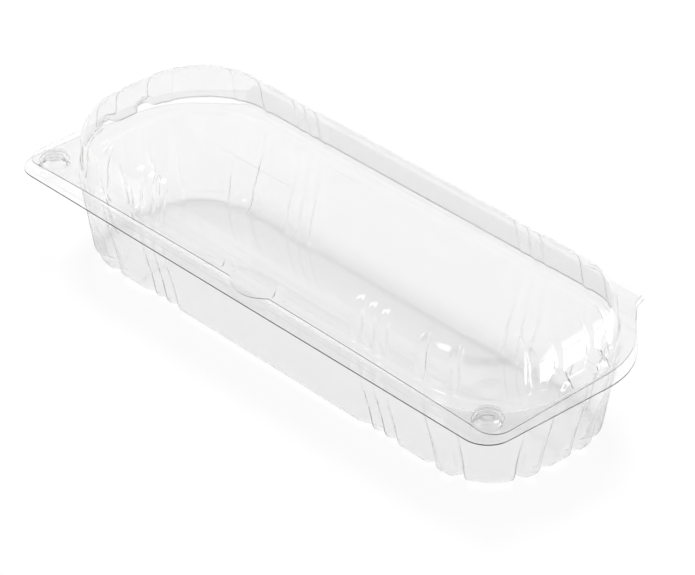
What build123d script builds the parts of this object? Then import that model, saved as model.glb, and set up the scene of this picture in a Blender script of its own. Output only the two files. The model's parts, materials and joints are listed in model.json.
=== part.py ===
from build123d import *
import math
import os

# Clear one-sheet clamshell pack for a long cake: a fluted tray, a domed lid and a folded hinge strip.
# Millimetres. Origin at the middle of the resting face, X along the pack, -Y at the opening front, +Z up.

# Sheet
sheet = 0.5  # wall of the formed sheet
play = 0.3  # gap between the two halves where one lies on the other
overrun = 2.0  # how far a cutter runs past what it cuts

# Tray, measured at the top of its flange
tray_length = 236.0
tray_width = 80.8
tray_corner = 31.5
tray_depth = 35.0  # resting face to flange
tray_draft = 9.3  # degrees
tray_floor_radius = 6.0

# Tray flange, with a cut-off corner at each end of the hinge
flange_end = 7.0  # past the mouth of the tray
flange_front = 8.1
flange_back = 4.7
flange_front_corner = 10.0
flange_back_corner = 34.0

# Hinge strip behind the flanges, folded along its rear edge
hinge_inset = 23.0  # of its ends from those of the flange
hinge_strip = 3.4
hinge_riser = 6.0  # from flange to flange
hinge_rise = 1.5  # of the strip towards its fold

# Lid, measured at the underside of its flange
lid_end_step = 0.5  # of the lid's walls inside the tray's mouth
lid_side_step = 1.2
lid_height = 20.0
lid_draft = 3.0  # degrees
lid_shoulder = 10.8
lid_tilt = 2.6  # degrees, the front snapped down towards the tray
lid_end_setback = 1.0  # of the lid flange from the tray flange
lid_front_setback = 4.2
lid_front_bow = 2.0
lid_front_corner = 7.0

# Three flutes side by side, four times round each half
flute_before_corner = 28.3  # of the middle flute, on the long side
flute_pitch = 6.2
flute_radius = 3.0
flute_bite = 1.5

# Grooves that part the seven lobes round each end
groove_radius = 2.0
groove_bite = 1.4
groove_before_corner = 2.5  # of the first groove, on the long side
groove_corner_angles = (21.0, 70.5)  # degrees round the corner from the long side
groove_off_middle = 7.5  # of the two grooves on the flat of the end
groove_fade_share = 1.25  # of the bite, lost over the lid's shoulder

# Arched lugs on the flange at the foot of the lid's walls
lug_width = 8.0
lug_height = 6.0
lug_reach = 4.2
lug_round = 1.2  # of the outer end
lug_off_middle = 8.6
front_lug_width = 7.0
front_lug_height = 4.5
front_lug_reach = 2.6
front_lug_place = 13.5

# Thumb tab in the middle of the lid's front edge
tab_width = 20.5
tab_reach = 4.0
tab_root = 1.0  # under the flange behind it
tab_bend = 14.0

# Snap buttons in the front corners of both flanges
button_from_end = 10.8
button_from_front = 10.8
button_foot = 12.0
button_foot_height = 1.4
button_top = 9.6
button_height = 3.0
button_edge = 0.7

# Sizes and places that follow
flange_length = tray_length + 2 * flange_end
hinge_length = flange_length - 2 * hinge_inset
lid_length = tray_length - 2 * lid_end_step
lid_width = tray_width - 2 * lid_side_step
flute_x = tray_length / 2 - tray_corner - flute_before_corner
front_edge = -tray_width / 2 - flange_front
back_edge = tray_width / 2 + flange_back
strip_end = back_edge + hinge_strip
fold_y = strip_end + play / 2
lid_base = tray_depth + hinge_riser
fold_z = lid_base + hinge_rise
fold = Axis((0, fold_y, fold_z), (1, 0, 0))
button_x = flange_length / 2 - button_from_end
button_y = front_edge + button_from_front
button_gap = hinge_riser - (fold_y - button_y) * math.sin(math.radians(lid_tilt))


def moulded_form(length, width, corner, height, draft, edge, below):
    """A drafted rounded block standing on z = 0 and run on below it, with a rounded top edge."""
    spread = below * math.tan(math.radians(draft))
    outline = RectangleRounded(length + 2 * spread, width + 2 * spread, corner + spread)
    form = extrude(outline, height + below, taper=draft)
    form = fillet(form.faces().sort_by(Axis.Z)[-1].edges(), edge)
    return Pos(0, 0, -below) * form


def wall_stations(length, width, corner):
    """Where the flutes and grooves stand on a rounded outline: a point, the outward way, a radius and a bite."""
    side = width / 2
    end = length / 2
    flute = (flute_radius, flute_bite)
    groove = (groove_radius, groove_bite)
    stations = []
    for sx in (-1, 1):
        for sy in (-1, 1):
            for step in (-1, 0, 1):
                stations.append((sx * (flute_x + step * flute_pitch), sy * side, 0, sy, *flute))
            stations.append((sx * (end - corner - groove_before_corner), sy * side, 0, sy, *groove))
            for angle in groove_corner_angles:
                out_x = math.sin(math.radians(angle))
                out_y = math.cos(math.radians(angle))
                x = end - corner + corner * out_x
                y = side - corner + corner * out_y
                stations.append((sx * x, sy * y, sx * out_x, sy * out_y, *groove))
            stations.append((sx * end, sy * groove_off_middle, sx, 0, *groove))
    return stations


def wall_bars(length, width, corner, height, draft, shoulder, grow):
    """Round bars along the walls, bent over the shoulder where there is one, that press in the flutes."""
    bars = []
    lean = math.radians(draft)
    for x, y, out_x, out_y, radius, bite in wall_stations(length, width, corner):
        wall = Plane((x, y, 0), x_dir=(out_x, out_y, 0), z_dir=(out_y, -out_x, 0))
        clear = (radius - bite) / math.cos(lean)
        run = height - shoulder * (1 - math.sin(lean)) if shoulder else height + overrun
        bend = (clear - run * math.tan(lean), run)
        path = Line((clear + overrun * math.tan(lean), -overrun), bend)
        if shoulder:
            bend_radius = shoulder + radius - bite + groove_fade_share * bite
            path = path + JernArc(bend, path % 1, bend_radius, 90 - draft)
        path = wall * path
        section = Plane(path @ 0, z_dir=path % 0) * Circle(radius + grow)
        bars.append(sweep(section, path))
    return bars


def pressed_form(length, width, corner, height, draft, edge, bent, grow):
    """The moulded block with its flutes and grooves pressed in, drawn in by grow on every face."""
    skin = grow / math.cos(math.radians(draft))
    below = overrun if grow else 0
    form = moulded_form(
        length - 2 * skin, width - 2 * skin, corner - skin, height - grow, draft, edge - grow, below
    )
    return form - wall_bars(length, width, corner, height, draft, edge if bent else 0, grow)


def flange_plate(length, front, corner, bow):
    """A flange: rounded in front, with its rear corners cut off beside the hinge."""
    half = length / 2
    side_end = back_edge - hinge_inset
    if bow:
        front_line = ThreePointArc((-half, front), (0, front + bow), (half, front))
    else:
        front_line = Line((-half, front), (half, front))
    rest = Polyline(
        (half, front),
        (half, side_end),
        (half - hinge_inset, back_edge),
        (hinge_inset - half, back_edge),
        (-half, side_end),
        (-half, front),
    )
    face = make_face(front_line + rest)
    face = fillet(face.vertices().group_by(Axis.Y)[0], corner)
    sides = [v for v in face.vertices() if math.isclose(v.Y, side_end, abs_tol=play)]
    return extrude(fillet(sides, flange_back_corner), sheet)


def button(grow, lift, below):
    """A stepped round button standing on z = 0, raised by lift, drawn in by grow, and run on below."""
    upright = (Align.CENTER, Align.CENTER, Align.MIN)
    foot = Cylinder(button_foot / 2 - grow, button_foot_height + lift - grow + below, align=upright)
    top = Cylinder(button_top / 2 - grow, button_height + lift - grow + below, align=upright)
    body = foot + top
    body = fillet(body.edges().group_by(Axis.Z)[-1], button_edge)
    return Pos(0, 0, -below) * body


def buttons(grow, lift, below, base):
    return [Pos(side * button_x, button_y, base) * button(grow, lift, below) for side in (-1, 1)]


def lug(width, height, reach, grow):
    """An arched lug that runs out of a wall at x = 0 along +X, drawn in by grow on its outer faces."""
    below = overrun if grow else 0
    half = width / 2 - grow
    spring = height - width / 2
    arch = Pos(0, spring) * Circle(half)
    post = Pos(0, (spring - below) / 2) * Rectangle(2 * half, spring + below)
    room = Pos(0, (height - below) / 2) * Rectangle(width, height + below)
    start = Plane((-reach, 0, 0), x_dir=(0, 1, 0), z_dir=(1, 0, 0))
    body = extrude(start * ((arch + post) & room), 2 * reach - grow)
    rim = body.faces().sort_by(Axis.X)[-1].edges().sort_by(Axis.Z)[1:]
    return fillet(rim, lug_round - grow)


def lid_lugs(grow):
    """Two lugs at each end of the lid and two beside its thumb tab."""
    lugs = []
    for side in (-1, 1):
        for turn in (0, 180):
            place = Rot(0, 0, turn) * Pos(lid_length / 2, side * lug_off_middle, 0)
            lugs.append(place * lug(lug_width, lug_height, lug_reach, grow))
        place = Pos(side * front_lug_place, -lid_width / 2, 0) * Rot(0, 0, -90)
        lugs.append(place * lug(front_lug_width, front_lug_height, front_lug_reach, grow))
    return lugs


def strip(points, length):
    """A strip of sheet along X, from its section in Y and Z."""
    section = Plane.YZ * make_face(Polyline(*points, close=True))
    return Pos(-length / 2, 0, 0) * extrude(section, length)


def thumb_tab(front):
    """A leaf of sheet that leaves the lid's front edge level and bends down."""
    half = tab_width / 2
    root = front + tab_root
    edge = ThreePointArc((-half, front), (0, front - tab_reach), (half, front))
    back = Polyline((half, front), (half, root), (-half, root), (-half, front))
    leaf = Pos(0, 0, -tab_bend) * extrude(make_face(edge + back), 2 * tab_bend)
    roll = Cylinder(tab_bend + sheet, tab_width) - Cylinder(tab_bend, tab_width)
    roll = Pos(0, root, -tab_bend) * Rot(0, 90, 0) * roll
    return leaf & roll


def make_tray():
    sizes = (tray_length, tray_width, tray_corner, tray_depth, tray_draft, tray_floor_radius, False)
    hang = Pos(0, 0, tray_depth) * Rot(180, 0, 0)
    plate = flange_plate(flange_length, front_edge, flange_front_corner, 0)
    dip = (hinge_strip + sheet) * math.tan(math.radians(lid_tilt)) + play
    hinge = strip(
        [
            (back_edge - sheet, tray_depth - sheet),
            (back_edge - sheet, lid_base - dip),
            (strip_end, fold_z - play),
            (strip_end, fold_z - play - sheet),
            (back_edge, lid_base - dip - sheet),
            (back_edge, tray_depth - sheet),
        ],
        hinge_length,
    )
    tray = hang * pressed_form(*sizes, 0) + Pos(0, 0, tray_depth - sheet) * plate + hinge
    tray = tray + buttons(sheet + play, button_gap, sheet, tray_depth)
    tray = tray - hang * pressed_form(*sizes, sheet)
    return tray - buttons(sheet + play + sheet, button_gap, overrun, tray_depth)


def make_lid():
    sizes = (lid_length, lid_width, tray_corner, lid_height, lid_draft, lid_shoulder, True)
    front = front_edge + lid_front_setback
    plate = flange_plate(flange_length - 2 * lid_end_setback, front, lid_front_corner, lid_front_bow)
    hinge = strip(
        [
            (back_edge - sheet, 0),
            (back_edge, 0),
            (strip_end, hinge_rise),
            (strip_end, hinge_rise + sheet),
            (back_edge, sheet),
            (back_edge - sheet, sheet),
        ],
        hinge_length,
    )
    lid = pressed_form(*sizes, 0) + plate + hinge + thumb_tab(front + lid_front_bow)
    lid = lid + lid_lugs(0) + buttons(0, 0, 0, 0)
    lid = lid - pressed_form(*sizes, sheet) - lid_lugs(sheet) - buttons(sheet, 0, overrun, 0)
    return (Pos(0, 0, lid_base) * lid).rotate(fold, lid_tilt)


os.makedirs("parts", exist_ok=True)
export_step(make_tray(), "parts/base_tray.step")
export_step(make_lid(), "parts/lid.step")
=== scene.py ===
import json
import math

import bmesh
import bpy
from mathutils import Matrix, Vector, noise


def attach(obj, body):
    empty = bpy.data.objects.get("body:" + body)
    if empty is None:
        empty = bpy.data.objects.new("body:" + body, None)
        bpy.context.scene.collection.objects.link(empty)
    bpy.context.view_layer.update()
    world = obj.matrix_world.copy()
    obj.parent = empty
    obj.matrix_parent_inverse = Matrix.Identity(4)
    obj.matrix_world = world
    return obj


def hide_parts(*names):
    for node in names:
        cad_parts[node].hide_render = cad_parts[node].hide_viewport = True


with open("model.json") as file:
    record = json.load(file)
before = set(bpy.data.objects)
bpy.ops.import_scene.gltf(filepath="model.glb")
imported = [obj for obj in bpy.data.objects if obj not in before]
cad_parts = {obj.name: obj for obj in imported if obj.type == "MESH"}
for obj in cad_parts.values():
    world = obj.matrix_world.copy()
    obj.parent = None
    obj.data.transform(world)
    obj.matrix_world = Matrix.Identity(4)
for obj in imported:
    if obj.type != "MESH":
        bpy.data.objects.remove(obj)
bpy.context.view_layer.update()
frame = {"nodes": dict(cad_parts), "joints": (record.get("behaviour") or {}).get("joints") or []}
scene = bpy.context.scene
mm = 0.001
near = 0.001  # millimetres within which two points are taken as level or as one
print("frame loaded:", sorted(frame["nodes"]))

# the one formed sheet, in millimetres as in the solids
sheetForm = {
    "wall": 0.5,
    "corner": 31.5,
    "step": 0.52,  # spacing of points round the walls
    "straightSkip": 8,  # one point in so many is kept where nothing is pressed in
    "cornerSkip": 2,
    "fineShare": 1.5,  # of a dent's half width, within which every point is kept
    "footRows": 6,  # rows of points in the round at a wall's foot, and over the flat top
    "topRows": 6,
    "middle": 1.5,  # radius left in the outline's corners at the innermost row
    "fluteX": 58.2,
    "flutePitch": 6.2,
    "fluteHalf": 3.1,
    "fluteBite": 0.95,
    "grooveHalf": 2.5,
    "grooveBite": 1.45,
    "grooveBeforeCorner": 2.5,
    "grooveAngles": (21.0, 70.5),
    "grooveOffMiddle": 7.5,
    "dentWidth": (0.7, 0.4),  # of the half width, to begin with and more as the dent deepens
    "hingeInset": 23.0,  # cut off the rear corners, with a round where the cut begins
    "backCorner": 34.0,
    "backEdge": 45.1,
    "frontRun": 112,  # half of the front edge between its round corners, and the step along it
    "frontStep": 4,
    "filletPoints": 16,
    "flangeShares": (0.0, 0.14, 0.26, 0.38, 0.5, 0.62, 0.74, 0.87, 1.0),  # from cut edge to wall
    "landLeft": 0.4,  # flange kept between a lug and the cut edge
    "buttonX": 114.2,
    "buttonY": -37.7,
    "hem": 0.13,  # narrow row kept along the cut edge
    "rimFade": 1.5,  # height over which the wall takes its drawn thickness
    "drawnShare": 0.4,  # the sheet thins where it is drawn into the mould
    "waveMm": 30.0,
    "waveDeep": 0.12,
    "waveFrom": 4.0,  # height over which the waves come in, so that the flange lies flat
}


def smooth(t):
    t = max(0.0, min(1.0, t))
    return t * t * (3 - 2 * t)


def roundedOutline(form, places):
    # points and outward ways round the walls, anticlockwise, thinned out away from the given places
    s = sheetForm
    straight, bend, corner = s["straightSkip"], s["cornerSkip"], s["corner"]
    endX, sideY = form["length"] / 2 - corner, form["width"] / 2 - corner
    points = []

    def close(p):
        return any(math.hypot(p.x - x, p.y - y) < reach for x, y, reach in places)

    for turn, centre, run in (
        (0, (endX, sideY), 2 * sideY),
        (90, (-endX, sideY), 2 * endX),
        (180, (-endX, -sideY), 2 * sideY),
        (270, (endX, -sideY), 2 * endX),
    ):
        out = Vector((math.cos(math.radians(turn)), math.sin(math.radians(turn))))
        along = Vector((-out.y, out.x))
        base = Vector(centre) + out * corner
        count = straight * round(run / s["step"] / straight)
        for k in range(count):
            p = base - along * run * (1 - k / count)
            if k % straight == 0 or close(p):
                points.append((p, out))
        count = bend * round(math.pi / 2 * corner / s["step"] / bend)
        for k in range(count):
            angle = math.radians(turn + 90 * k / count)
            way = Vector((math.cos(angle), math.sin(angle)))
            p = Vector(centre) + way * corner
            if k % bend == 0 or close(p):
                points.append((p, way))
    return points


def pressedStations(form):
    # places of the flutes and grooves on the outline, each with its half width and bite
    s = sheetForm
    endX, sideY = form["length"] / 2, form["width"] / 2
    found = []
    for sx in (-1, 1):
        for sy in (-1, 1):
            for k in (-1, 0, 1):
                x = s["fluteX"] + k * s["flutePitch"]
                found.append((sx * x, sy * sideY, s["fluteHalf"], s["fluteBite"]))
            grooves = [(endX - s["corner"] - s["grooveBeforeCorner"], sideY), (endX, s["grooveOffMiddle"])]
            for angle in s["grooveAngles"]:
                a = math.radians(angle)
                x = endX - s["corner"] + s["corner"] * math.sin(a)
                grooves.append((x, sideY - s["corner"] + s["corner"] * math.cos(a)))
            for x, y in grooves:
                found.append((sx * x, sy * y, s["grooveHalf"], s["grooveBite"]))
    return found


def dentDepth(point, stations, share):
    # a soft hollow that widens as it deepens
    least, more = sheetForm["dentWidth"]
    depth = 0.0
    for x, y, half, bite in stations:
        u = math.hypot(point.x - x, point.y - y) / (half * (least + more * share))
        if u < 1:
            depth = max(depth, share * bite * math.cos(math.pi / 2 * u) ** 2)
    return depth


def lugPush(point, way, z, lugs):
    # an arched bump at the foot of a wall, soft at its edges
    push = 0.0
    for x, y, width, height, reach, soft in lugs:
        across = Vector((point.x - x, point.y - y))
        if across.length > width:
            continue
        u = abs(across.dot(Vector((-way.y, way.x))))
        spring = max(0.0, height - width / 2)
        inside = width / 2 - (u if z < spring else math.hypot(u, z - spring))
        push = max(push, reach * smooth(inside / soft))
    return push


def wallRows(form):
    # offset from the outline, height and share of the dents, from the flange to the middle of the top
    s = sheetForm
    wall, foot, edge, height = s["wall"], form["foot"], form["edge"], form["height"]
    lean = math.radians(form["draft"])

    def deep(z):
        risen = smooth(z / (height - edge)) ** form["dentCurve"]
        return form["dentFrom"] + (form["dentTo"] - form["dentFrom"]) * risen

    rows = []
    for k in range(s["footRows"] + 1):
        a = (math.pi / 2 - lean) * k / s["footRows"]
        z = wall + foot - foot * math.cos(a)
        rows.append((foot - foot * math.sin(a) - (wall + foot) * math.tan(lean), z, deep(z)))
    start = rows[-1][1]
    end = height - edge * (1 - math.sin(lean))
    for k in range(1, form["rows"]):
        z = start + (end - start) * k / form["rows"]
        rows.append((-z * math.tan(lean), z, deep(z)))
    centre = -end * math.tan(lean) - edge * math.cos(lean)
    for k in range(form["edgeRows"] + 1):
        a = lean + (math.pi / 2 - lean) * k / form["edgeRows"]
        share = form["dentTo"] * max(0.0, 1 - form["fade"] * (1 - math.cos(a)))
        rows.append((centre + edge * math.cos(a), height - edge + edge * math.sin(a), share))
    last = s["corner"] + centre - s["middle"]  # how far the rounded outline can still draw in
    for k in range(1, s["topRows"] + 1):
        level = height + form["crown"] * smooth(k / s["topRows"])
        rows.append((centre - last * k / s["topRows"], level, 0.0))
    return rows


def nextLoop(bm, loop, edges):
    # extrudes a loop of edges and gives the new points in the old order
    made = bmesh.ops.extrude_edge_only(bm, edges=edges)["geom"]
    new = {g for g in made if isinstance(g, bmesh.types.BMVert)}
    upper = [next(e.other_vert(v) for e in v.link_edges if e.other_vert(v) in new) for v in loop]
    return upper, [g for g in made if isinstance(g, bmesh.types.BMEdge) and all(v in new for v in g.verts)]


def ringFrom(bm, points, z):
    made = bmesh.ops.create_circle(bm, segments=len(points), radius=1)["verts"]
    for v, p in zip(made, points):
        v.co = (p[0], p[1], z)
    return made, [bm.edges.get((a, b)) for a, b in zip(made, made[1:] + made[:1])]


def filletCorner(a, b, c, radius):
    # points of a round corner at b
    count = sheetForm["filletPoints"]
    u, v = (a - b).normalized(), (c - b).normalized()
    half = u.angle(v) / 2
    centre = b + (u + v).normalized() * radius / math.sin(half)
    start, end = b + u * radius / math.tan(half) - centre, b + v * radius / math.tan(half) - centre
    return [centre + start.slerp(end, k / count) * radius for k in range(count + 1)]  # slerp gives unit ways


def flangeOutline(form):
    # the cut edge of the flange: bowed or straight front, round front corners, cut rear corners
    s = sheetForm
    half, front, back, inset = form["halfFlange"], form["front"], s["backEdge"], s["hingeInset"]
    run = s["frontRun"]
    edge = [
        Vector((x, front + form["bow"] * (1 - (x / half) ** 2)))
        for x in range(-run, run + 1, s["frontStep"])
    ]
    right = filletCorner(Vector((0, front)), Vector((half, front)), Vector((half, 0)), form["frontCorner"])
    corner = Vector((half - inset, back))
    right += filletCorner(Vector((half, 0)), Vector((half, back - inset)), corner, s["backCorner"])
    right.append(corner)
    return edge + right + [Vector((-p.x, p.y)) for p in reversed(right)]


def rimPoint(p, way, rim):
    # where the way out from a wall meets the cut edge
    parallel, slack = 1e-9, 1e-6
    far = math.inf
    for a, b in zip(rim, rim[1:] + rim[:1]):
        run = b - a
        cross = way.x * run.y - way.y * run.x
        if abs(cross) < parallel:
            continue
        gap = a - p
        t = (gap.x * run.y - gap.y * run.x) / cross
        u = (gap.x * way.y - gap.y * way.x) / cross
        if t > 0 and -slack <= u <= 1 + slack:
            far = min(far, t)
    return p + way * far


# thumb tab of the lid: half width, reach, radius it bends down by, and half the run with every point kept
tabForm = {"half": 10.25, "reach": 4.0, "bend": 14.0, "fine": 12.3}


def tabReach(x):
    # how far the leaf of the thumb tab stands out of the front edge
    t = tabForm
    if abs(x) >= t["half"]:
        return 0.0
    radius = (t["half"] ** 2 + t["reach"] ** 2) / (2 * t["reach"])
    return math.sqrt(radius ** 2 - x ** 2) - radius + t["reach"]


def tabDroop(out):
    # the leaf bends down past the edge
    bend = tabForm["bend"]
    return bend - math.sqrt(bend ** 2 - max(0.0, out) ** 2)


lidForm = {
    "length": 235.0,
    "width": 78.4,
    "height": 20.0,
    "draft": 3.0,
    "edge": 10.8,
    "foot": 1.7,
    "rows": 9,
    "edgeRows": 12,
    "dentFrom": 0.35,  # shares of the bite at the foot of the wall and at its top
    "dentTo": 1.1,
    "dentCurve": 1.0,
    "fade": 1.1,  # how soon the dents run out over the rounded edge
    "crown": 0.25,  # rise of the middle of the top
    "rimShare": 0.25,  # how far the cut edge is from drawn to full thickness
    "halfFlange": 124.0,
    "front": -44.3,
    "bow": 2.0,  # how far the front edge draws back at its middle
    "tab": True,
    "frontCorner": 7.0,
    "button": [  # radius and height down its profile
        (5.6, 0.5), (5.55, 0.54), (5.5, 0.72), (5.46, 1.08), (5.32, 1.34), (5.15, 1.43), (5.0, 1.55),
        (4.85, 1.9), (4.8, 2.35), (4.62, 2.76), (4.2, 2.98), (3.6, 2.98), (3.0, 2.8), (1.6, 2.55), (0.0, 2.5),
    ],
    "lugs": [  # x, y, width, height, reach and softness
        (sx * 117.5, sy * 8.6, 9.2, 6.5, 4.0, 2.3) for sx in (-1, 1) for sy in (-1, 1)
    ] + [(sx * 13.5, -39.2, 7.6, 4.8, 1.3, 1.8) for sx in (-1, 1)],
    "hinge": [(46.2, 1.0), (47.4, 1.5), (48.5, 2.0)],  # y and z down the folded strip
    "base": 41.0,  # height of the flange above the floor, before the front tilts down by some degrees
    "tilt": 2.6,
}

trayForm = {
    "length": 236.0,
    "width": 80.8,
    "height": 35.0,
    "draft": 9.3,
    "edge": 6.0,
    "foot": 1.8,
    "rows": 8,
    "edgeRows": 10,
    "dentFrom": 0.15,
    "dentTo": 2.5,
    "dentCurve": 2.0,
    "fade": 0.4,
    "crown": -0.3,
    "rimShare": 0.8,
    "halfFlange": 125.0,
    "front": -48.5,
    "bow": 0.0,
    "tab": False,
    "frontCorner": 10.0,
    "button": [
        (5.9, 0.5), (5.3, 0.42), (4.9, 0.15), (4.75, -0.4), (4.7, -1.2), (4.6, -1.85), (4.3, -2.15),
        (3.85, -2.22), (3.6, -2.45), (3.5, -3.0), (3.35, -3.5), (2.9, -3.76), (2.2, -3.76), (1.2, -3.5),
        (0.0, -3.45),
    ],
    "lugs": [],
    "hinge": [(45.1, -1.0), (45.1, -3.0), (45.12, -4.6), (45.5, -5.1), (46.9, -5.85), (48.5, -6.7)],
}


def finePlaces(form, stations):
    # where the outline keeps every point: x, y and how far round
    places = [(x, y, sheetForm["fineShare"] * half) for x, y, half, bite in stations]
    places += [lug[:3] for lug in form["lugs"]]
    if form["tab"]:
        places.append((0.0, -form["width"] / 2, tabForm["fine"]))
    return places


def cutEdgePoints(form, outline, side):
    # the cut edge straight out from each point of the walls, and where it would be without the thumb tab
    s = sheetForm
    rim = [Vector((p.x, p.y * side)) for p in flangeOutline(form)]
    points = [rimPoint(p, way, rim) for p, way in outline]
    for sx in (-1, 1):
        corner = Vector((sx * (form["halfFlange"] - s["hingeInset"]), s["backEdge"] * side))
        nearest = min(range(len(points)), key=lambda i: (points[i] - corner).length)
        points[nearest] = corner
    plainY = [p.y for p in points]
    if form["tab"]:
        points = [p - Vector((0, tabReach(p.x))) if p.y < 0 else p for p in points]
    return points, plainY


def ringOrder(edges):
    # the points of a closed ring of edges, one after another
    loop, left = list(edges[0].verts), set(edges[1:])
    while len(left) > 1:
        step = next(e for e in loop[-1].link_edges if e in left)
        left.remove(step)
        loop.append(step.other_vert(loop[-1]))
    return loop


# hole for a snap button: gap round its foot, and how far out and how often the flange's points are evened
holeForm = {"gap": 0.2, "evenOver": 5.0, "evenPasses": 8, "evenShare": 0.5}


def snapButton(bm, form, centre):
    # opens a round hole in the flange and draws the button out of its edge
    full = bm.verts.layers.deform.verify()
    level, reach = sheetForm["wall"], form["button"][0][0] + holeForm["gap"]

    def isLevel(v):
        return abs(v.co.z - level) < near

    def turned(angle):
        return (angle + math.pi) % (2 * math.pi) - math.pi

    inside = [
        f for f in bm.faces
        if all(isLevel(v) for v in f.verts) and (f.calc_center_median().xy - centre).length < reach
    ]
    edges = [e for f in inside for e in f.edges if any(g not in inside for g in e.link_faces)]
    edges = list(dict.fromkeys(edges))  # each once, in the same order at every run
    bmesh.ops.delete(bm, geom=inside, context="FACES")
    edges += [bmesh.utils.edge_split(e, e.verts[0], 0.5)[0] for e in edges]
    loop = ringOrder(edges)
    turns = [math.atan2(v.co.y - centre.y, v.co.x - centre.x) for v in loop]
    steps = [turned(b - a) for a, b in zip(turns, turns[1:] + turns[:1])]
    spin = math.copysign(2 * math.pi / len(loop), sum(steps))
    drift = [turned(t - turns[0] - k * spin) for k, t in enumerate(turns)]
    start = turns[0] + sum(drift) / len(loop)
    ways = [Vector((math.cos(start + k * spin), math.sin(start + k * spin))) for k in range(len(loop))]
    for v, way in zip(loop, ways):
        v.co.xy = centre + way * reach
    far = reach + holeForm["evenOver"]
    rest = {v for v in bm.verts if isLevel(v) and (v.co.xy - centre).length < far} - set(loop)

    def isFree(v):
        around = [w for e in v.link_edges for w in e.verts]
        return all(isLevel(w) and (not w.is_boundary or w in loop) for w in around)

    rest = [v for v in rest if isFree(v)]
    for k in range(holeForm["evenPasses"]):
        bmesh.ops.smooth_vert(bm, verts=rest, factor=holeForm["evenShare"], use_axis_x=True, use_axis_y=True)
    for radius, z in form["button"]:
        loop, edges = nextLoop(bm, loop, edges)
        for v, way in zip(loop, ways):
            v.co = (*(centre + way * radius), z)
            v[full][0] = 0.0
    bmesh.ops.remove_doubles(bm, verts=loop, dist=near)


def hingeStrip(bm, form, rimLoop, side):
    # the folded strip behind the flange, drawn out of its back edge
    full = bm.verts.layers.deform.verify()
    backY = sheetForm["backEdge"] * side
    row = sorted((v for v in rimLoop if abs(v.co.y - backY) < near), key=lambda v: v.co.x)
    edges = [bm.edges.get(pair) for pair in zip(row, row[1:])]
    for y, z in form["hinge"]:
        row, edges = nextLoop(bm, row, edges)
        for v in row:
            v.co = (v.co.x, y * side, z)
            v[full][0] = 0.0


def drawnWaves(bm):
    # the soft unevenness that drawing leaves in the walls and the top
    s = sheetForm
    bmesh.ops.recalc_face_normals(bm, faces=bm.faces)
    bm.normal_update()
    for v in bm.verts:
        drawn = smooth((v.co.z - s["wall"]) / s["waveFrom"])
        v.co += v.normal * s["waveDeep"] * noise.noise(v.co / s["waveMm"]) * drawn


def shellMesh(form, flip):
    # the outer skin of one half, flange down; flip turns the flange's outline front to back
    s = sheetForm
    side = -1 if flip else 1
    bm = bmesh.new()
    full = bm.verts.layers.deform.verify()  # weight of the full thickness, against the drawn one
    stations = pressedStations(form)
    outline = roundedOutline(form, finePlaces(form, stations))
    cutEdge, plainY = cutEdgePoints(form, outline, side)
    loop, edges = ringFrom(bm, cutEdge, s["wall"])
    for v, y in zip(loop, plainY):
        v[full][0] = form["rimShare"]
        v.co.z -= tabDroop(y - v.co.y)
    rimLoop = loop
    rows = wallRows(form)
    footOffset, footLevel, footShare = rows[0]
    footDents = [dentDepth(p, stations, footShare) for p, way in outline]
    for share in s["flangeShares"]:
        loop, edges = nextLoop(bm, loop, edges)
        for v, (p, way), dent, out, y in zip(loop, outline, footDents, cutEdge, plainY):
            push = footOffset - dent + lugPush(p, way, footLevel, form["lugs"])
            foot = p + way * min(push, (out - p).dot(way) - s["landLeft"])
            hem = s["hem"] / (foot - out).length
            place = out.lerp(foot, hem + (1 - hem) * share)
            v.co = (*place, footLevel - tabDroop(y - place.y if y < 0 else 0.0))
    for offset, z, share in rows[1:]:
        loop, edges = nextLoop(bm, loop, edges)
        for v, (p, way), out in zip(loop, outline, cutEdge):
            push = offset - dentDepth(p, stations, share) + lugPush(p, way, z, form["lugs"])
            v.co = (*(p + way * min(push, (out - p).dot(way) - s["landLeft"])), z)
            v[full][0] = form["rimShare"] * (1 - smooth((z - s["wall"]) / s["rimFade"]))
    bmesh.ops.contextual_create(bm, geom=edges)
    for sx in (-1, 1):
        snapButton(bm, form, Vector((sx * s["buttonX"], s["buttonY"] * side)))
    hingeStrip(bm, form, rimLoop, side)
    drawnWaves(bm)
    for f in bm.faces:
        f.smooth = True
    return bm


cutForm = {"width": 0.1, "degrees": 60, "segments": 2}  # rounding of the sheet's cut edges


def addPiece(name, bm, place, body, node, material):
    bmesh.ops.transform(bm, matrix=Matrix.Scale(mm, 4) @ place, verts=bm.verts)
    mesh = bpy.data.meshes.new(name)
    bm.to_mesh(mesh)
    bm.free()
    obj = bpy.data.objects.new(name, mesh)
    scene.collection.objects.link(obj)
    obj.data.materials.append(material)
    obj.vertex_groups.new(name="fullSheet")
    thick = obj.modifiers.new("sheet", "SOLIDIFY")
    thick.vertex_group = "fullSheet"
    thick.thickness_vertex_group = sheetForm["drawnShare"]
    thick.thickness = sheetForm["wall"] * mm
    thick.offset = -1
    thick.use_quality_normals = True
    cut = obj.modifiers.new("cutEdge", "BEVEL")
    cut.limit_method = "ANGLE"
    cut.angle_limit = math.radians(cutForm["degrees"])
    cut.width = cutForm["width"] * mm
    cut.segments = cutForm["segments"]
    even = obj.modifiers.new("evenShade", "WEIGHTED_NORMAL")
    even.keep_sharp = True
    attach(obj, body)
    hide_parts(node)
    print(name, "has", len(mesh.polygons), "faces before its wall")


def linear(hexColour):
    # sRGB hex to linear light
    parts = [int(hexColour[i:i + 2], 16) / 255 for i in (0, 2, 4)]
    return [c / 12.92 if c <= 0.04045 else ((c + 0.055) / 1.055) ** 2.4 for c in parts] + [1.0]


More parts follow.
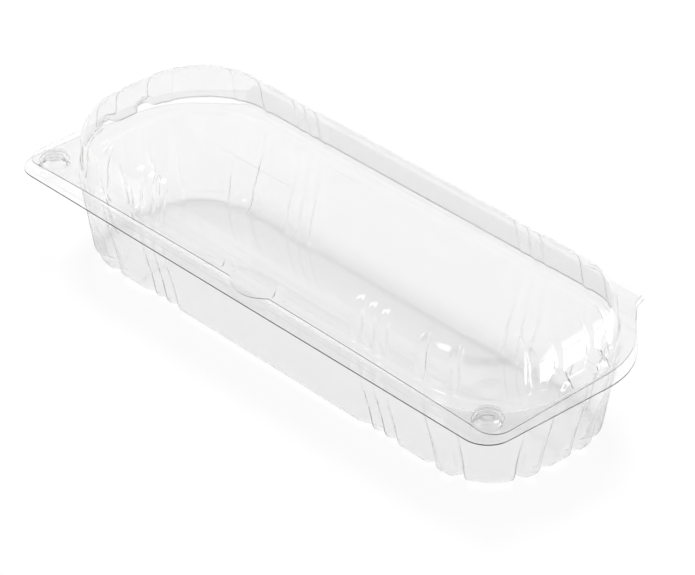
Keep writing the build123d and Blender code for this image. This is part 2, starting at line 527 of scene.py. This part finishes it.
def addNode(tree, kind, settings=None, links=None, values=None):
    node = tree.nodes.new(kind)
    for key, value in (settings or {}).items():
        setattr(node, key, value)
    for key, value in (values or {}).items():
        node.inputs[key].default_value = value
    for key, source in (links or {}).items():
        tree.links.new(source, node.inputs[key])
    return node


# clear PET sheet, thermoformed: glassy, faintly hazy in patches, lets lamps through
petForm = {
    "tint": "F6F6F6",
    "through": "FEFEFE",  # light let through straight on, and where it meets the sheet at a slant
    "slanted": "CECECE",
    "slantBlend": 0.35,
    "ior": 1.57,
    "hazeMm": 14.0,  # size of the cloudy patches that drawing leaves in the sheet
    "hazeDetail": 3.0,
    "hazeRough": 0.55,
    "hazeFrom": (0.35, 0.7),  # part of the cloud's range that is spread over the roughness
    "roughness": (0.015, 0.05),
}


def clearSheet():
    p = petForm
    mat = bpy.data.materials.new("clearPetSheet")
    mat.use_nodes = True
    tree = mat.node_tree
    tree.nodes.clear()
    place = addNode(tree, "ShaderNodeTexCoord")
    cloud = addNode(
        tree, "ShaderNodeTexNoise", links={"Vector": place.outputs["Object"]},
        values={"Scale": 1 / (p["hazeMm"] * mm), "Detail": p["hazeDetail"], "Roughness": p["hazeRough"]},
    )
    low, high = p["hazeFrom"]
    smoothest, roughest = p["roughness"]
    haze = addNode(
        tree, "ShaderNodeMapRange", links={"Value": cloud.outputs["Fac"]},
        values={"From Min": low, "From Max": high, "To Min": smoothest, "To Max": roughest},
    )
    glass = addNode(
        tree, "ShaderNodeBsdfPrincipled", links={"Roughness": haze.outputs["Result"]},
        values={"Base Color": linear(p["tint"]), "IOR": p["ior"], "Transmission Weight": 1.0},
    )
    path = addNode(tree, "ShaderNodeLightPath")
    slant = addNode(tree, "ShaderNodeLayerWeight", values={"Blend": p["slantBlend"]})
    shade = addNode(
        tree, "ShaderNodeMix", {"data_type": "RGBA"}, {"Factor": slant.outputs["Fresnel"]},
        {"A": linear(p["through"]), "B": linear(p["slanted"])},
    )
    clear = addNode(tree, "ShaderNodeBsdfTransparent", links={"Color": shade.outputs["Result"]})
    both = addNode(
        tree, "ShaderNodeMixShader",
        links={0: path.outputs["Is Shadow Ray"], 1: glass.outputs[0], 2: clear.outputs[0]},
    )
    addNode(tree, "ShaderNodeOutputMaterial", links={"Surface": both.outputs[0]})
    return mat


pet = clearSheet()
addPiece(
    "formed_tray", shellMesh(trayForm, True),
    Matrix.Translation((0, 0, trayForm["height"])) @ Matrix.Rotation(math.pi, 4, "X"),
    "tray", "base_tray", pet,
)
foldY, foldZ = [c / mm for c in frame["joints"][0]["pos_m"][1:]]  # the crease that the lid swings on
tilted = Matrix.Translation((0, foldY, foldZ)) @ Matrix.Rotation(math.radians(lidForm["tilt"]), 4, "X")
addPiece(
    "formed_lid", shellMesh(lidForm, False),
    tilted @ Matrix.Translation((0, -foldY, lidForm["base"] - foldZ)),
    "lid", "lid", pet,
)
print("both halves formed")

# studio: white floor, pale surroundings, soft lamps, in metres
studio = {
    "floorColour": "FFFFFF",
    "floorHalf": 6.0,
    "floorDrop": 0.0002,  # below the tray, so that the two don't meet
    "floorLift": 0.89,  # part of the floor that shows white whatever falls on it
    "throughLift": 0.62,  # the same seen in or through the sheet
    "plainFrom": (0.28, 0.75),  # distances from the pack over which the floor turns plain white
    "skyForLight": 0.1,  # strength of the surroundings as a light, and as the sheet mirrors them
    "glossDim": 0.75,
    "wideGlow": ((-0.63, 0.52, 0.58), 0.3, 0.1),  # way, edge and strength of the bright side of the room
    "softBoxes": [  # the same for what the sheet mirrors sharply, with dark gaps below zero
        ((0.8, 0.59, -0.09), 0.85, 2.6),  # low, so that the flat top stays clear of it
        ((-0.354, -0.721, 0.597), 0.975, 2.8),
        ((0.3, -0.85, 0.43), 0.92, -0.7),
        ((0.65, -0.6, 0.46), 0.92, -0.7),
    ],
}

lamps = {  # size, watts, place, target and whether the sheet mirrors it
    "topLamp": ((0.45, 0.45), 26.0, (-0.35, 0.36, 1.5), (0, 0, 0), False),
    "keyLamp": ((1.0, 1.0), 3.0, (-0.82, 0.67, 0.85), (0, 0, 0.05), False),
    "sideLamp": ((0.8, 0.7), 2.8, (0.86, 0.68, 0.5), (0.08, 0, 0.05), False),
    "bounceLamp": ((0.6, 0.6), 5.5, (0.46, 0.28, 0.001), (0.46, 0.281, 1), True),  # a card on the floor
}


def mirroredRay(tree, path):
    # 1 for what is seen in or through the sheet
    return addNode(
        tree, "ShaderNodeMath", {"operation": "MAXIMUM"},
        links={0: path.outputs["Is Glossy Ray"], 1: path.outputs["Is Transmission Ray"]},
    ).outputs[0]


def whiteFloor():
    # matt paper sweep that keeps the pack's shadow and is plain white further out
    bm = bmesh.new()
    bmesh.ops.create_grid(bm, x_segments=1, y_segments=1, size=studio["floorHalf"])
    mesh = bpy.data.meshes.new("studioFloor")
    bm.to_mesh(mesh)
    bm.free()
    floor = bpy.data.objects.new("studioFloor", mesh)
    scene.collection.objects.link(floor)
    mat = bpy.data.materials.new("paperSweep")
    mat.use_nodes = True
    tree = mat.node_tree
    tree.nodes.clear()
    paper = addNode(tree, "ShaderNodeBsdfDiffuse", values={"Color": linear(studio["floorColour"])})
    white = addNode(tree, "ShaderNodeEmission", values={"Color": (1, 1, 1, 1), "Strength": 1.0})
    path = addNode(tree, "ShaderNodeLightPath")
    place = addNode(tree, "ShaderNodeTexCoord")
    reach = addNode(tree, "ShaderNodeVectorMath", {"operation": "LENGTH"}, {0: place.outputs["Object"]})
    begin, plain = studio["plainFrom"]
    direct, through = [
        addNode(
            tree, "ShaderNodeMapRange", links={"Value": reach.outputs["Value"]},
            values={"From Min": begin, "From Max": plain, "To Min": studio[key], "To Max": 1.0},
        ).outputs["Result"]
        for key in ("floorLift", "throughLift")
    ]
    seen = addNode(
        tree, "ShaderNodeMath", {"operation": "MULTIPLY"}, {0: mirroredRay(tree, path), 1: through},
    )
    lift = addNode(
        tree, "ShaderNodeMath", {"operation": "MULTIPLY_ADD"},
        {0: path.outputs["Is Camera Ray"], 1: direct, 2: seen.outputs[0]},
    )
    both = addNode(
        tree, "ShaderNodeMixShader", links={0: lift.outputs[0], 1: paper.outputs[0], 2: white.outputs[0]},
    )
    addNode(tree, "ShaderNodeOutputMaterial", links={"Surface": both.outputs[0]})
    mesh.materials.append(mat)
    floor.location.z = -studio["floorDrop"]


def glowToward(tree, way, box):
    # a round soft patch of light in the surroundings
    toward, start, strength = box
    dot = addNode(
        tree, "ShaderNodeVectorMath", {"operation": "DOT_PRODUCT"},
        links={0: way.outputs["Generated"]}, values={1: Vector(toward).normalized()},
    )
    return addNode(
        tree, "ShaderNodeMapRange", {"interpolation_type": "SMOOTHSTEP"}, {"Value": dot.outputs["Value"]},
        {"From Min": start, "From Max": 1.0, "To Min": 0.0, "To Max": strength},
    ).outputs["Result"]


def paleWorld():
    # white to the camera, dim as a light, with soft boxes in what is seen in or through the sheet
    world = bpy.data.worlds.new("paleStudio")
    scene.world = world
    world.use_nodes = True
    tree = world.node_tree
    tree.nodes.clear()
    path = addNode(tree, "ShaderNodeLightPath")
    way = addNode(tree, "ShaderNodeTexCoord")
    wide = addNode(  # not seen through the sheet
        tree, "ShaderNodeMath", {"operation": "MULTIPLY"},
        {0: glowToward(tree, way, studio["wideGlow"]), 1: path.outputs["Is Glossy Ray"]},
    )
    room = addNode(
        tree, "ShaderNodeMapRange", links={"Value": path.outputs["Is Transmission Ray"]},
        values={"To Min": studio["glossDim"], "To Max": 1.0},
    ).outputs["Result"]
    for glow in [wide.outputs[0]] + [glowToward(tree, way, box) for box in studio["softBoxes"]]:
        room = addNode(tree, "ShaderNodeMath", {"operation": "ADD"}, {0: room, 1: glow}).outputs[0]
    gloss = addNode(
        tree, "ShaderNodeMix", {"data_type": "FLOAT"},
        links={"Factor": mirroredRay(tree, path), "B": room}, values={"A": studio["skyForLight"]},
    )
    strength = addNode(
        tree, "ShaderNodeMix", {"data_type": "FLOAT"},
        links={"Factor": path.outputs["Is Camera Ray"], "A": gloss.outputs["Result"]}, values={"B": 1.0},
    )
    sky = addNode(
        tree, "ShaderNodeBackground", links={"Strength": strength.outputs["Result"]},
        values={"Color": (1, 1, 1, 1)},
    )
    addNode(tree, "ShaderNodeOutputWorld", links={"Surface": sky.outputs[0]})


def softLamp(name, size, watts, place, target, mirrored):
    lamp = bpy.data.lights.new(name, "AREA")
    lamp.shape = "RECTANGLE"
    lamp.size, lamp.size_y = size
    lamp.energy = watts
    lamp.cycles.use_multiple_importance_sampling = mirrored  # the others' light all takes the clear shadow
    obj = bpy.data.objects.new(name, lamp)
    scene.collection.objects.link(obj)
    obj.location = place
    obj.rotation_euler = (Vector(target) - Vector(place)).to_track_quat("-Z", "Y").to_euler()
    obj.visible_glossy = mirrored
    obj.visible_camera = obj.visible_transmission = False


whiteFloor()
paleWorld()
for lampName, lampForm in lamps.items():
    softLamp(lampName, *lampForm)
print("studio lit")

# camera fitted to the photo: lens, sensor and target in millimetres, the rest in degrees and metres
camForm = {
    "lens": 188.5,
    "sensor": 36,
    "azimuth": 47.843,
    "elevation": 32.036,
    "distance": 1.26399,
    "target": (20.304, -14.481, 35.0),
    "clip": (0.05, 50),
}


def photoCamera():
    c = camForm
    data = bpy.data.cameras.new("photoCamera")
    data.lens = c["lens"]
    data.sensor_width = c["sensor"]
    data.clip_start, data.clip_end = c["clip"]
    cam = bpy.data.objects.new("photoCamera", data)
    scene.collection.objects.link(cam)
    a, e = math.radians(c["azimuth"]), math.radians(c["elevation"])
    back = Vector((math.sin(a) * math.cos(e), -math.cos(a) * math.cos(e), math.sin(e)))
    cam.location = Vector(c["target"]) * mm + back * c["distance"]
    cam.rotation_euler = (-back).to_track_quat("-Z", "Y").to_euler()
    scene.camera = cam


photoCamera()
scene.view_settings.view_transform = "Standard"
scene.cycles.caustics_refractive = False  # lamps pass the sheet by its clear shadow instead
scene.cycles.caustics_reflective = False
scene.cycles.max_bounces = 32  # enough to pass every wall of both halves
scene.cycles.transmission_bounces = 28
scene.cycles.transparent_max_bounces = 32
